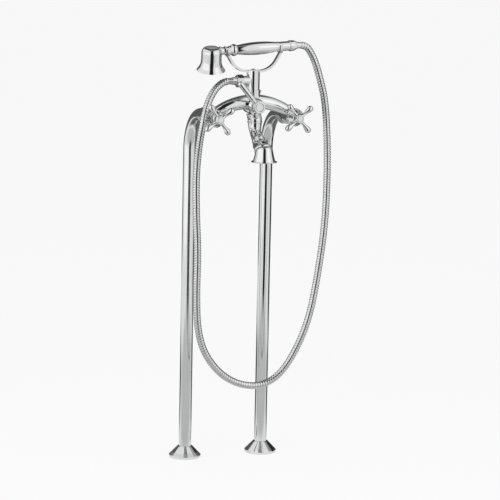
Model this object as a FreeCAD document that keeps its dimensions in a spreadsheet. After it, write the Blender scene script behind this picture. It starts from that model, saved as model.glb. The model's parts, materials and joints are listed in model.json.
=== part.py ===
import FreeCAD, Part
import math
import os
import Sketcher

# Floor standing bath filler: two standpipes carry an arched mixer with a cast
# spout, two cross handles, a lever diverter and a cradle with a hand shower.
# X runs to the right as the user sees it, Y to the back, Z up. The origin is on
# the floor midway between the standpipes. All lengths are in millimetres.

Vec = FreeCAD.Vector
doc = FreeCAD.newDocument("BathFiller")

sizes = {
    # clearances
    "fitGap": 0.1,
    "shaftGap": 0.05,
    "looseGap": 0.3,
    "restGap": 0.4,
    # standpipes
    "pipeCentres": 180,
    "pipeDia": 28,
    "pipeWall": 1.5,
    "bendRadius": 86,
    "inletHeight": 779,
    "armReach": 112,
    "collarThick": 3.4,
    # floor anchors and their cover flanges
    "anchorDia": 60,
    "anchorThick": 5,
    "bossDia": 35,
    "bossHeight": 18,
    "inletBore": 18.6,
    "inletDepth": 8,
    "fixPcd": 49,
    "fixHole": 5,
    "flangeDia": 72,
    "flangeRim": 5.5,
    "flangeHeight": 25,
    "flangeTopDia": 33,
    "flangeWall": 2.2,
    # unions
    "unionThread": 31,
    "unionAcross": 36,
    "unionLength": 26,
    "unionLip": 3.6,
    "nutChamfer": 1.2,
    "washerThick": 1.5,
    # mixer body
    "unionTail": 20.5,
    "valveBodyDia": 36,
    "valveBodyLength": 36,
    "valveBore": 22,
    "valveBoreDepth": 30,
    "portDia": 14,
    "archRadius": 168,
    "archRise": 33.4,
    "archCentreDia": 31.2,
    "archEndDia": 21,
    "waterwayDia": 11,
    "diverterRise": 25,
    "diverterDia": 36,
    "diverterFront": 24,
    "diverterBack": 20,
    "diverterBoreDepth": 35,
    "columnRise": 59,
    "columnBossDia": 31,
    "columnBossHeight": 12,
    "spoutForward": 16,
    "spoutNeckDia": 31.2,
    "spoutNeckDrop": 29,
    # spout
    "spoutDrop": 84,
    "spoutReach": 62,
    "spoutWaistDia": 25.2,
    "spoutShoulderDia": 36.6,
    "spoutMouthDia": 48,
    "spoutLipDia": 55.6,
    "spoutLipThick": 2.2,
    "spoutCupHeight": 26,
    "spoutWall": 2.6,
    "spoutSpigotDia": 20,
    "spoutSpigot": 8,
    "insertDia": 29,
    "insertThick": 5,
    "insertHole": 2.4,
    # valves, bonnets and cross handles
    "cartridgeFlangeDia": 24,
    "cartridgeFlange": 4,
    "glandDia": 14,
    "spindleDia": 8,
    "spindleSink": 10,
    "spindleGrip": 9.5,
    "bonnetLength": 18,
    "bonnetRimDia": 39,
    "bonnetRim": 2.5,
    "bonnetFootDia": 35,
    "bonnetFrontDia": 21.6,
    "bonnetWall": 1.8,
    "hubGap": 0.5,
    "hubDia": 20,
    "hubEndDia": 17,
    "hubLength": 16.5,
    "hubWeb": 2,
    "handleReach": 39,
    "armNeckDia": 7.2,
    "armSwellDia": 13,
    "screwDia": 4,
    "screwHeadDia": 8,
    "screwHead": 2,
    "screwLength": 9,
    "buttonDia": 13.6,
    "buttonThick": 3.4,
    "leftHandleTurn": -10,
    "rightHandleTurn": -5,
    # diverter lever
    "diverterBonnetLength": 8,
    "diverterBonnetFrontDia": 26,
    "leverHubDia": 28,
    "leverHubLength": 13,
    "leverSocket": 6,
    "leverWeb": 1.4,
    "leverReach": 71,
    "leverRodDia": 12.6,
    "leverLean": 40,
    "leverButtonDia": 18.6,
    "leverButtonThick": 2.6,
    # column and hose outlet
    "columnDia": 28,
    "columnBore": 18,
    "columnLength": 37,
    "columnSpigotDia": 22,
    "columnSpigot": 12,
    "columnTopThick": 10,
    "columnScrewDia": 3.2,
    "columnScrewHeadDia": 5.2,
    "columnScrewHead": 3,
    "outletDrop": 18,
    "outletDia": 21,
    "outletReach": 23.5,
    "outletBore": 12,
    "hoseThreadDia": 20.7,
    "hoseThreadLength": 9.5,
    "hoseNutAcross": 24,
    "hoseNutLip": 2,
    "hoseWasher": 1.5,
    "ferruleFlangeDia": 19.6,
    "ferruleFlange": 1.7,
    "ferruleDia": 18,
    "ferruleLength": 8.6,
    # cradle
    "forkHalf": 59.5,
    "forkThick": 6,
    "forkWall": 4.4,
    "forkHorn": 4,
    "strapWidth": 12,
    "strapThick": 5,
    "strapFlat": 12,
    "strapRadius": 45,
    "cradlePad": 4,
    "cradleScrewDia": 5,
    "cradleScrewHeadDia": 9,
    "cradleScrewHead": 3,
    "cradleScrewLength": 14,
    # hand shower: its lengths run along its own axis
    "handsetRise": 51,
    "handsetTilt": 3.8,
    "handsetRoll": 15,
    "gripLeft": 39,
    "gripLength": 91,
    "gripMidDia": 27.7,
    "gripHeadDia": 19.2,
    "gripTailDia": 20.2,
    "coreDia": 12,
    "coreBore": 9,
    "coreSocket": 6,
    "beadLength": 13,
    "beadDia": 25.6,
    "beadEndDia": 19.6,
    "collarLength": 4,
    "collarDia": 19.6,
    "headGroove": 7,
    "headGrooveDia": 16,
    "neckLength": 14,
    "neckDia": 17.6,
    "neckRingDia": 20,
    "neckRing": 2.4,
    "bellSetback": 18,
    "bellWaistDia": 43.4,
    "bellMouthDia": 61.5,
    "bellCrown": 9.5,
    "bellCorner": 11,
    "bellFlare": 23,
    "bellDepth": 41,
    "bellWall": 2,
    "roseDia": 51,
    "roseThick": 2,
    "roseRecess": 1.5,
    "roseHole": 1.8,
    "endRing": 4.3,
    "endRingDia": 21.6,
    "tailGroove": 6.8,
    "tailGrooveDia": 19.8,
    "tailLength": 17.4,
    "tailDia": 20.4,
    "tailThread": 6.5,
    "coneNutDia": 23.8,
    "coneNutRing": 2.6,
    "coneNutEndDia": 17.8,
    "coneNutLength": 15.6,
    "coneNutWall": 1,
    # hose
    "hoseDia": 15.4,
    "hoseGrooveDia": 13.8,
    "hoseBore": 9,
    "hoseOutletRun": 13.2,
    "hoseHandsetRun": 21,
}

sheet = doc.addObject("Spreadsheet::Sheet", "Sizes")
for row, (alias, value) in enumerate(sizes.items(), 1):
    sheet.set("A%d" % row, alias)
    sheet.set("B%d" % row, str(value))
    sheet.setAlias("B%d" % row, alias)
doc.recompute()

# Places that follow from the driving sizes, shared by every piece. Those along
# Y are counted forward from the standpipes, those of the hand shower along its
# axis from the column's centre line.
rules = {
    "halfCentres": "Sizes.pipeCentres / 2",
    "tailBack": "Sizes.armReach + Sizes.washerThick",
    "bodyBack": "Derived.tailBack + Sizes.unionTail",
    "bodyFront": "Derived.bodyBack + Sizes.valveBodyLength",
    "archDepth": "Derived.bodyBack + Sizes.valveBodyLength / 2",
    "diverterHeight": "Sizes.inletHeight + Sizes.diverterRise",
    "housingFront": "Derived.archDepth + Sizes.diverterFront",
    "columnFoot": "Sizes.inletHeight + Sizes.columnRise",
    "columnTop": "Derived.columnFoot + Sizes.columnLength",
    "outletHeight": "Derived.columnTop - Sizes.outletDrop",
    "spoutDepth": "Derived.archDepth + Sizes.spoutForward",
    "spoutTop": "Derived.diverterHeight - Sizes.spoutNeckDrop",
    "mouthDepth": "Derived.spoutDepth + Sizes.spoutReach",
    "mouthHeight": "Derived.spoutTop - Sizes.spoutDrop",
    "hubBack": "Derived.bodyFront + Sizes.bonnetLength + Sizes.hubGap",
    "spindleEnd": "Derived.hubBack + Sizes.spindleGrip",
    "screwSeat": "Derived.spindleEnd + Sizes.hubWeb",
    "leverBack": "Derived.housingFront + Sizes.diverterBonnetLength + Sizes.hubGap",
    "leverSpindleEnd": "Derived.leverBack + Sizes.leverSocket",
    "leverScrewSeat": "Derived.leverSpindleEnd + Sizes.leverWeb",
    "hoseNutBack": "Sizes.outletReach + Sizes.looseGap",
    "threadEnd": "Sizes.outletReach + Sizes.hoseThreadLength",
    "flangeStart": "Derived.threadEnd + Sizes.hoseWasher",
    "lipStart": "Derived.flangeStart + Sizes.ferruleFlange",
    "lipEnd": "Derived.lipStart + Sizes.hoseNutLip",
    "hoseStart": "Derived.lipEnd + Sizes.ferruleLength",
    "handsetHeight": "Derived.columnTop + Sizes.handsetRise",
    "gripRight": "Sizes.gripLength - Sizes.gripLeft",
    "beadLeft": "Sizes.gripLeft + Sizes.beadLength",
    "grooveRight": "Derived.beadLeft + Sizes.collarLength",
    "grooveLeft": "Derived.grooveRight + Sizes.headGroove",
    "neckLeft": "Derived.grooveLeft + Sizes.neckLength",
    "bellPlace": "Derived.neckLeft + Sizes.bellSetback",
    "tailStart": "Derived.gripRight + Sizes.endRing",
    "tailGrooveEnd": "Derived.tailStart + Sizes.tailGroove",
    "tailEnd": "Derived.tailGrooveEnd + Sizes.tailLength",
    "coneNutStart": "Derived.tailEnd + Sizes.looseGap",
    "tailThreadEnd": "Derived.tailEnd + Sizes.tailThread",
    "coneFlangeStart": "Derived.tailThreadEnd + Sizes.hoseWasher",
    "coneLipStart": "Derived.coneFlangeStart + Sizes.ferruleFlange",
    "coneNutEnd": "Derived.coneNutStart + Sizes.coneNutLength",
    "handsetHose": "Derived.coneNutEnd + 1",
}
derived = doc.addObject("App::VarSet", "Derived")
for name in rules:
    derived.addProperty("App::PropertyFloat", name)
for name, rule in rules.items():
    derived.setExpression(name, rule)
doc.recompute()


class Values:
    """Every size and place as a plain number, for shapes made in code."""


v = Values()
for alias in sizes:
    setattr(v, alias, float(sheet.get(alias)))
for name in rules:
    setattr(v, name, float(getattr(derived, name)))

# ---- Helpers ----
nodes = []
turnUp = FreeCAD.Rotation()
turnFront = FreeCAD.Rotation(Vec(1, 0, 0), 90)
turnLeft = FreeCAD.Rotation(Vec(0, 1, 0), -90)
turnRight = FreeCAD.Rotation(Vec(0, 1, 0), 90)
turnTilted = FreeCAD.Rotation(Vec(0, 1, 0), 90 - v.handsetTilt)
turnHandset = turnTilted.multiply(FreeCAD.Rotation(Vec(0, 0, 1), v.handsetRoll))
handsetBase = ("0", "-Derived.archDepth", "Derived.handsetHeight")
noBase = ("0", "0", "0")


def place(obj, label, base, turn):
    """Names a finished piece and puts it in its place."""
    obj.Label = label
    obj.Placement = FreeCAD.Placement(Vec(0, 0, 0), turn)
    for axis, rule in zip("xyz", base):
        obj.setExpression("Placement.Base." + axis, rule)
    nodes.append(obj)
    return obj


def slug(name, start, length, radius, farRadius=None):
    """A cylinder or a cone on the local Z axis, bound to the sheet."""
    if farRadius is None:
        obj = doc.addObject("Part::Cylinder", name)
        obj.setExpression("Radius", radius)
    else:
        obj = doc.addObject("Part::Cone", name)
        obj.setExpression("Radius1", radius)
        obj.setExpression("Radius2", farRadius)
    obj.setExpression("Height", length)
    obj.setExpression("Placement.Base.z", start)
    return obj


def stack(name, items):
    """Slugs joined into one turned shape."""
    solids = [slug("%s_%d" % (name, i), *item) for i, item in enumerate(items)]
    if len(solids) == 1:
        return solids[0]
    joined = doc.addObject("Part::MultiFuse", name)
    joined.Shapes = solids
    joined.Refine = True
    return joined


def turned(label, outside, inside, base, turn=turnUp):
    """A turned piece: slugs stacked on the local Z axis, less its bores."""
    body = stack(label + "_outside", outside)
    if inside:
        cut = doc.addObject("Part::Cut", label + "_turned")
        cut.Base = body
        cut.Tool = stack(label + "_bores", inside)
        body = cut
    return place(body, label, base, turn)


def feature(label, shape, base, turn=turnUp):
    """A cast, bent or formed piece whose shape is made in code."""
    obj = doc.addObject("Part::Feature", label)
    obj.Shape = shape
    return place(obj, label, base, turn)


def ring(radius, centre, normal, xAxis):
    """A circle as a wire, its seam on a steady X axis."""
    circle = Part.Circle(centre, normal, radius)
    circle.XAxis = xAxis
    return Part.Wire(circle.toShape())


def rod(radius, start, end):
    run = end.sub(start)
    return Part.makeCylinder(radius, run.Length, start, run)


def carved(shape, tools):
    """The shape less each tool in turn."""
    for tool in tools:
        shape = shape.cut(tool)
    return shape


def lathe(runs):
    """A solid turned about Z from runs of (along, radius) points: two points
    make a line, three an arc and more a smooth curve."""
    edges = []
    for run in runs:
        points = [Vec(radius, 0, along) for along, radius in run]
        if len(points) == 2:
            edges.append(Part.LineSegment(*points).toShape())
        elif len(points) == 3:
            edges.append(Part.Arc(*points).toShape())
        else:
            curve = Part.BSplineCurve()
            curve.interpolate(points)
            edges.append(curve.toShape())
    start, startRadius = runs[0][0]
    end, endRadius = runs[-1][-1]
    low = Vec(0, 0, start)
    high = Vec(0, 0, end)
    if startRadius > 0:
        edges.insert(0, Part.LineSegment(low, Vec(startRadius, 0, start)).toShape())
    if endRadius > 0:
        edges.append(Part.LineSegment(Vec(endRadius, 0, end), high).toShape())
    edges.append(Part.LineSegment(high, low).toShape())
    return Part.Face(Part.Wire(edges)).revolve(Vec(0, 0, 0), Vec(0, 0, 1), 360)


def originPlane(body, role):
    return next(item for item in body.Origin.OriginFeatures if item.Role == role)


def sketchOn(body, name, heightRule=None):
    sketch = body.newObject("Sketcher::SketchObject", name)
    sketch.AttachmentSupport = [(originPlane(body, "XY_Plane"), "")]
    sketch.MapMode = "FlatFace"
    if heightRule:
        sketch.setExpression("AttachmentOffset.Base.z", heightRule)
    return sketch


def addCircle(sketch, radiusRule, across=0.0, acrossRule=None):
    """A circle on the sketch's X axis, its radius and place bound."""
    index = sketch.addGeometry(Part.Circle(Vec(across, 0, 0), Vec(0, 0, 1), 5), False)
    if acrossRule:
        sketch.addConstraint(Sketcher.Constraint("PointOnObject", index, 3, -1))
        rule = sketch.addConstraint(
            Sketcher.Constraint("DistanceX", -1, 1, index, 3, across))
        sketch.setExpression("Constraints[%d]" % rule, acrossRule)
    else:
        sketch.addConstraint(Sketcher.Constraint("Coincident", index, 3, -1, 1))
    radius = sketch.addConstraint(Sketcher.Constraint("Radius", index, 5))
    sketch.setExpression("Constraints[%d]" % radius, radiusRule)


def addHexagon(sketch, acrossRule):
    """A regular hexagon about the sketch's origin, by its width across flats."""
    reach = 20.0
    corners = [Vec(reach * math.cos(math.radians(60 * k)),
                   reach * math.sin(math.radians(60 * k)), 0) for k in range(6)]
    lines = [sketch.addGeometry(Part.LineSegment(corners[k], corners[(k + 1) % 6]), False)
             for k in range(6)]
    guide = sketch.addGeometry(Part.Circle(Vec(0, 0, 0), Vec(0, 0, 1), reach), True)
    sketch.addConstraint(Sketcher.Constraint("Coincident", guide, 3, -1, 1))
    for k in range(6):
        sketch.addConstraint(
            Sketcher.Constraint("Coincident", lines[k], 2, lines[(k + 1) % 6], 1))
        sketch.addConstraint(Sketcher.Constraint("PointOnObject", lines[k], 1, guide))
    for k in range(1, 6):
        sketch.addConstraint(Sketcher.Constraint("Equal", lines[0], lines[k]))
    sketch.addConstraint(Sketcher.Constraint("PointOnObject", lines[0], 1, -1))
    radius = sketch.addConstraint(Sketcher.Constraint("Radius", guide, reach))
    sketch.setExpression("Constraints[%d]" % radius, "(%s) / 2 / cos(30)" % acrossRule)


def pad(body, sketch, lengthRule):
    step = body.newObject("PartDesign::Pad", sketch.Name + "Pad")
    step.Profile = sketch
    step.setExpression("Length", lengthRule)
    doc.recompute()


def pocket(body, sketch, lengthRule):
    """Cuts upward from the sketch's own plane, and makes sure that it cut."""
    before = body.Shape.Volume
    step = body.newObject("PartDesign::Pocket", sketch.Name + "Cut")
    step.Profile = sketch
    step.Reversed = True
    step.setExpression("Length", lengthRule)
    doc.recompute()
    if body.Shape.Volume > before - 1e-6:
        raise ValueError("nothing was cut by " + step.Name)
    return step


def polar(body, step, count):
    pattern = body.newObject("PartDesign::PolarPattern", step.Name + "Ring")
    pattern.Originals = [step]
    pattern.Axis = (originPlane(body, "Z_Axis"), [""])
    pattern.Angle = 360
    pattern.Occurrences = count
    body.Tip = pattern
    doc.recompute()


def hexNut(label, across, length, bores, base, turn):
    """A hexagonal nut with chamfered corners; each bore runs on to the front."""
    block = doc.addObject("PartDesign::Body", label + "_block")
    hexagon = sketchOn(block, label + "_hexagon")
    addHexagon(hexagon, across)
    pad(block, hexagon, length)
    for i, (start, radius) in enumerate(bores):
        bore = sketchOn(block, "%s_bore%d" % (label, i), start)
        addCircle(bore, radius)
        pocket(block, bore, length)
    edge = "%s / 2 + Sizes.looseGap" % across
    full = "%s + Sizes.nutChamfer * 2" % edge
    barrel = stack(label + "_barrel", [
        ("0", "Sizes.nutChamfer", edge, full),
        ("Sizes.nutChamfer", "%s - Sizes.nutChamfer * 2" % length, full),
        ("%s - Sizes.nutChamfer" % length, "Sizes.nutChamfer", full, edge)])
    common = doc.addObject("Part::Common", label + "_nut")
    common.Base = block
    common.Tool = barrel
    place(common, label, base, turn)


# ---- Standpipes, floor anchors, cover flanges and unions ----
def standpipeShape():
    """A tube from the anchor up, bent forward to the union, with its collar."""
    low = Vec(0, 0, v.inletDepth)
    bendStart = Vec(0, 0, v.inletHeight - v.bendRadius)
    half = v.bendRadius * math.sqrt(0.5)
    bendMid = Vec(0, half - v.bendRadius, v.inletHeight - v.bendRadius + half)
    bendEnd = Vec(0, -v.bendRadius, v.inletHeight)
    tip = Vec(0, -v.armReach, v.inletHeight)
    path = Part.Wire([Part.LineSegment(low, bendStart).toShape(),
                      Part.Arc(bendStart, bendMid, bendEnd).toShape(),
                      Part.LineSegment(bendEnd, tip).toShape()])
    up = Vec(0, 0, 1)
    side = Vec(1, 0, 0)
    outer = path.makePipeShell([ring(v.pipeDia / 2, low, up, side)], True, False)
    bore = path.makePipeShell([ring(v.pipeDia / 2 - v.pipeWall, low, up, side)], True, False)
    collarRadius = v.unionThread / 2 - v.looseGap
    collar = rod(collarRadius, Vec(0, v.collarThick - v.armReach, v.inletHeight), tip)
    return outer.fuse(collar).cut(bore).removeSplitter()


for side, sign in (("left", "-"), ("right", "")):
    across = sign + "Derived.halfCentres"

    anchor = doc.addObject("PartDesign::Body", "floor_anchor_" + side)
    disc = sketchOn(anchor, "anchorDisc_" + side)
    addCircle(disc, "Sizes.anchorDia / 2")
    pad(anchor, disc, "Sizes.anchorThick")
    boss = sketchOn(anchor, "anchorBoss_" + side)
    addCircle(boss, "Sizes.bossDia / 2")
    pad(anchor, boss, "Sizes.bossHeight")
    inlet = sketchOn(anchor, "anchorInlet_" + side)
    addCircle(inlet, "Sizes.inletBore / 2")
    pocket(anchor, inlet, "Sizes.bossHeight")
    socket = sketchOn(anchor, "anchorSocket_" + side, "Sizes.inletDepth")
    addCircle(socket, "Sizes.pipeDia / 2 + Sizes.shaftGap")
    pocket(anchor, socket, "Sizes.bossHeight")
    fixing = sketchOn(anchor, "anchorFixing_" + side)
    addCircle(fixing, "Sizes.fixHole / 2", v.fixPcd / 2, "Sizes.fixPcd / 2")
    polar(anchor, pocket(anchor, fixing, "Sizes.anchorThick"), 3)
    place(anchor, "floor_anchor_" + side, (across, "0", "0"), turnUp)

    turned("floor_flange_" + side,
           [("0", "Sizes.flangeRim", "Sizes.flangeDia / 2"),
            ("Sizes.flangeRim", "Sizes.flangeHeight - Sizes.flangeRim",
             "Sizes.flangeDia / 2", "Sizes.flangeTopDia / 2")],
           [("0", "Sizes.flangeRim", "Sizes.flangeDia / 2 - Sizes.flangeWall * 1.4"),
            ("Sizes.flangeRim", "Sizes.flangeHeight - Sizes.flangeRim - Sizes.flangeWall",
             "Sizes.flangeDia / 2 - Sizes.flangeWall * 1.4",
             "Sizes.flangeTopDia / 2 - Sizes.flangeWall * 0.4"),
            ("0", "Sizes.flangeHeight", "Sizes.pipeDia / 2 + Sizes.fitGap")],
           (across, "0", "0"))

    feature("standpipe_" + side, standpipeShape(), (across, "0", "0"))

    turned("union_washer_" + side,
           [("Sizes.armReach", "Sizes.washerThick",
             "Sizes.unionThread / 2 - Sizes.looseGap")],
           [("Sizes.armReach", "Sizes.washerThick", "Sizes.pipeDia / 2 - Sizes.pipeWall")],
           (across, "0", "Sizes.inletHeight"), turnFront)

    nutBack = "-(Sizes.armReach - Sizes.collarThick - Sizes.unionLip)"
    hexNut("union_nut_" + side, "Sizes.unionAcross", "Sizes.unionLength",
           [("0", "Sizes.pipeDia / 2 + Sizes.fitGap"),
            ("Sizes.unionLip", "Sizes.unionThread / 2")],
           (across, nutBack, "Sizes.inletHeight"), turnFront)


# ---- Mixer body: one casting ----
def archPoint(across):
    """A point on the arch's centre line at a distance from the middle."""
    centre = v.inletHeight + v.archRise - v.archRadius
    return Vec(across, -v.archDepth, centre + math.sqrt(v.archRadius ** 2 - across ** 2))


def archSection(across):
    """The arch's round section there, thinner towards the valves."""
    point = archPoint(across)
    crownCentre = Vec(0, -v.archDepth, v.inletHeight + v.archRise - v.archRadius)
    outward = point.sub(crownCentre)
    share = (abs(across) / v.halfCentres) ** 1.6
    diameter = v.archCentreDia + (v.archEndDia - v.archCentreDia) * share
    return ring(diameter / 2, point, Vec(outward.z, 0, -outward.x), Vec(0, 1, 0))


def valveSolids(x):
    """One valve barrel with its union tail, and the spaces inside them."""
    axis = v.inletHeight
    threadRadius = v.unionThread / 2 - v.fitGap
    tail = rod(threadRadius, Vec(x, -v.tailBack, axis), Vec(x, -v.bodyBack - 1, axis))
    barrel = rod(v.valveBodyDia / 2, Vec(x, -v.bodyBack, axis), Vec(x, -v.bodyFront, axis))
    rim = [edge for edge in barrel.Edges if edge.Closed and edge.CenterOfMass.y > -v.archDepth]
    barrel = barrel.makeFillet(v.nutChamfer, rim)
    chamber = rod(v.valveBore / 2, Vec(x, v.valveBoreDepth - v.bodyFront, axis),
                  Vec(x, -v.bodyFront, axis))
    port = rod(v.portDia / 2, Vec(x, -v.bodyBack, axis), Vec(x, -v.archDepth, axis))
    tailBore = rod(v.valveBore / 2, Vec(x, -v.tailBack, axis), Vec(x, -v.bodyBack, axis))
    return [tail, barrel], [chamber, port, tailBore]


def mixerBodyShape():
    solids = []
    cuts = []
    for x in (-v.halfCentres, v.halfCentres):
        added, removed = valveSolids(x)
        solids += added
        cuts += removed
    spread = [share * v.halfCentres for share in (-1, -0.75, -0.5, -0.25, 0, 0.25, 0.5, 0.75, 1)]
    solids.append(Part.makeLoft([archSection(x) for x in spread], True, False))
    channel = Part.Arc(archPoint(-v.halfCentres), archPoint(0), archPoint(v.halfCentres))
    channelWire = Part.Wire([channel.toShape()])
    channelStart = archPoint(-v.halfCentres)
    direction = channel.tangent(channel.FirstParameter)[0]
    cuts.append(channelWire.makePipeShell(
        [ring(v.waterwayDia / 2, channelStart, direction, Vec(0, 1, 0))], True, False))
    # the diverter barrel, closed by a low dome at the back
    back = v.diverterBack - v.archDepth
    middle = v.diverterHeight
    radius = v.diverterDia / 2
    dome = lathe([[(0, radius), (radius * 0.22, radius * 0.88), (radius * 0.37, radius * 0.46),
                   (radius * 0.42, 0)]])
    dome.Placement = FreeCAD.Placement(Vec(0, back, middle),
                                       FreeCAD.Rotation(Vec(1, 0, 0), -90))
    solids.append(dome)
    solids.append(rod(radius, Vec(0, back, middle), Vec(0, -v.housingFront, middle)))
    cuts.append(rod(v.valveBore / 2, Vec(0, v.diverterBoreDepth - v.housingFront, middle),
                    Vec(0, -v.housingFront, middle)))
    # the boss under the column, flaring into the arch
    bossFoot = v.columnFoot - v.columnBossHeight
    bossRadius = v.columnBossDia / 2
    axis = Vec(0, -v.archDepth, 0)
    solids.append(Part.makeCylinder(bossRadius, v.columnFoot - middle, axis + Vec(0, 0, middle)))
    flare = []
    for drop, wide, deep in ((0, 1.03, 1.03), (3, 1.14, 1.01), (6, 1.4, 0.97), (11, 1.75, 0.9)):
        ellipse = Part.Ellipse(axis + Vec(0, 0, bossFoot - drop), bossRadius * wide + 0.01,
                               bossRadius * deep)
        flare.append(Part.Wire(ellipse.toShape()))
    solids.append(Part.makeLoft(flare, True, False))
    cuts.append(Part.makeCylinder(v.columnSpigotDia / 2 + v.fitGap, v.columnSpigot + 0.5,
                                  axis + Vec(0, 0, v.columnFoot - v.columnSpigot - 0.5)))
    cuts.append(Part.makeCylinder(v.portDia / 2, v.columnFoot - middle,
                                  axis + Vec(0, 0, middle)))
    # the neck that carries the spout
    neckRadius = v.spoutNeckDia / 2
    neckTop = v.diverterHeight - radius
    sections = []
    for forward, height, wide in ((-8.1, neckTop + 0.5, 1), (-5.4, neckTop - 3, 1.01),
                                  (-1.6, v.spoutTop + 3.5, 1.02), (0, v.spoutTop, 1)):
        centre = Vec(0, -v.spoutDepth - forward, height)
        sections.append(ring(neckRadius * wide, centre, Vec(0, 0, -1), Vec(1, 0, 0)))
    solids.append(Part.makeLoft(sections, True, False))
    solids.append(Part.makeCylinder(v.portDia / 2 + v.spoutWall, v.diverterHeight - neckTop,
                                    Vec(0, -v.spoutDepth + 2, neckTop)))
    spout = Vec(0, -v.spoutDepth, v.spoutTop)
    cuts.append(Part.makeCylinder(v.portDia / 2 - 1, v.diverterHeight - v.spoutTop, spout))
    cuts.append(Part.makeCylinder(v.spoutSpigotDia / 2 + v.fitGap, v.spoutSpigot + 0.5, spout))
    screwHeight = v.columnFoot - v.columnBossHeight / 3
    cuts.append(rod(v.columnScrewDia / 2 + v.shaftGap,
                    Vec(v.columnSpigotDia / 2, -v.archDepth, screwHeight),
                    Vec(v.columnBossDia / 2 + 1, -v.archDepth, screwHeight)))
    return carved(solids[0].multiFuse(solids[1:]), cuts)


feature("mixer_body", mixerBodyShape(), noBase)


# ---- Spout: a cast bend that ends in a flared cup ----
def spoutSections(inset):
    """Rings down the bend, each by its share of the reach and of the drop."""
    neck = v.spoutNeckDia / 2
    waist = v.spoutWaistDia / 2
    shoulder = v.spoutShoulderDia / 2
    rows = ((0.00, 0.000, 0, neck), (0.00, 0.06, 2, neck - 0.6),
            (0.01, 0.17, 8, (neck + waist) / 2), (0.045, 0.27, 22, waist + 0.2),
            (0.20, 0.38, 44, waist), (0.43, 0.51, 50, waist + 1.6),
            (0.64, 0.63, 46, waist * 0.4 + shoulder * 0.6),
            (0.84, 0.76, 34, waist * 0.1 + shoulder * 0.86))
    wires = []
    for reach, drop, lean, radius in rows:
        centre = Vec(0, -v.spoutDepth - v.spoutReach * reach, v.spoutTop - v.spoutDrop * drop)
        angle = math.radians(lean)
        travel = Vec(0, -math.sin(angle), -math.cos(angle))
        wires.append(ring(radius - inset, centre, travel, Vec(1, 0, 0)))
    return wires


def spoutShape():
    mouth = v.spoutMouthDia / 2
    lip = v.spoutLipDia / 2
    shoulder = v.spoutShoulderDia / 2
    thick = v.spoutLipThick
    cup = v.spoutCupHeight
    seat = v.insertDia / 2 + v.fitGap
    solids = [Part.makeLoft(spoutSections(0), True, False)]
    # the cup, upward from its lip
    bell = lathe([[(0, lip - thick / 3), (thick / 3, lip), (thick, lip - thick / 3)],
                  [(thick, lip - thick / 3), (thick, mouth)],
                  [(thick, mouth), (cup * 0.2, mouth - 0.9), (cup * 0.6, mouth - 3.6),
                   (cup, shoulder)],
                  [(cup, shoulder), (cup + shoulder * 0.36, shoulder * 0.82),
                   (cup + shoulder * 0.54, shoulder * 0.42), (cup + shoulder * 0.6, 0)]])
    bell.translate(Vec(0, -v.mouthDepth, v.mouthHeight))
    solids.append(bell)
    # two ring mouldings under the neck
    neck = Vec(0, -v.spoutDepth, v.spoutTop)
    solids.append(Part.makeTorus(v.spoutNeckDia / 2 - 1.2, 1.8, neck + Vec(0, 0, -5),
                                 Vec(0, 0.03, 1)))
    solids.append(Part.makeTorus(v.spoutWaistDia / 2 - 0.6, 1.6, neck + Vec(0, -2, -19.5),
                                 Vec(0, 0.3, 1)))
    solids.append(Part.makeCylinder(v.spoutSpigotDia / 2, v.spoutSpigot + 1,
                                    neck + Vec(0, 0, -1)))
    cuts = [Part.makeLoft(spoutSections(v.spoutWall + 2.2)[1:], True, False)]
    seatTop = cup * 0.55 + v.insertThick
    hollow = lathe([[(-1, mouth - v.spoutWall + 0.6), (cup * 0.55, seat)],
                    [(cup * 0.55, seat), (seatTop, seat)],
                    [(seatTop, seat), (seatTop, seat - 1.5)],
                    [(seatTop, seat - 1.5), (seatTop + 5, seat - 4)]])
    hollow.translate(Vec(0, -v.mouthDepth, v.mouthHeight))
    cuts.append(hollow)
    cuts.append(Part.makeCylinder(v.spoutSpigotDia / 2 - v.spoutWall, v.spoutSpigot + 7,
                                  neck + Vec(0, 0, -7)))
    return carved(solids[0].multiFuse(solids[1:]), cuts)


feature("spout", spoutShape(), noBase)


def holeRings(radius, rings, first):
    """Centres of a middle hole and rings of holes, six more in each ring."""
    centres = [(0.0, 0.0)]
    for k in range(1, rings + 1):
        reach = radius * k / rings
        count = first * k
        for i in range(count):
            angle = 2 * math.pi * i / count
            centres.append((reach * math.cos(angle), reach * math.sin(angle)))
    return centres


def drilledDisc(discRadius, start, thick, holeRadius, centres):
    disc = Part.makeCylinder(discRadius, thick, Vec(0, 0, start))
    holes = [Part.makeCylinder(holeRadius, thick, Vec(x, y, start)) for x, y in centres]
    return disc.cut(holes[0].multiFuse(holes[1:]))


insertHoles = holeRings(v.insertDia / 2 - v.spoutWall, 2, 6)
feature("flow_straightener",
        drilledDisc(v.insertDia / 2, 0, v.insertThick, v.insertHole / 2, insertHoles),
        ("0", "-Derived.mouthDepth", "Derived.mouthHeight + Sizes.spoutCupHeight * 0.55"))


# ---- Valves and cross handles ----
def armShape(reach):
    """One baluster arm of a cross handle, along Z from the hub's centre."""
    neck = v.armNeckDia / 2
    swell = v.armSwellDia / 2
    waist = v.hubDia / 2
    run = reach - waist
    curve = [(waist - 3, neck + 0.8), (waist + run * 0.1, neck), (waist + run * 0.3, neck + 0.1),
             (waist + run * 0.52, swell - 1.3), (waist + run * 0.74, swell),
             (waist + run * 0.9, swell * 0.8), (waist + run * 0.98, swell * 0.38), (reach, 0)]
    return lathe([curve])


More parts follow.
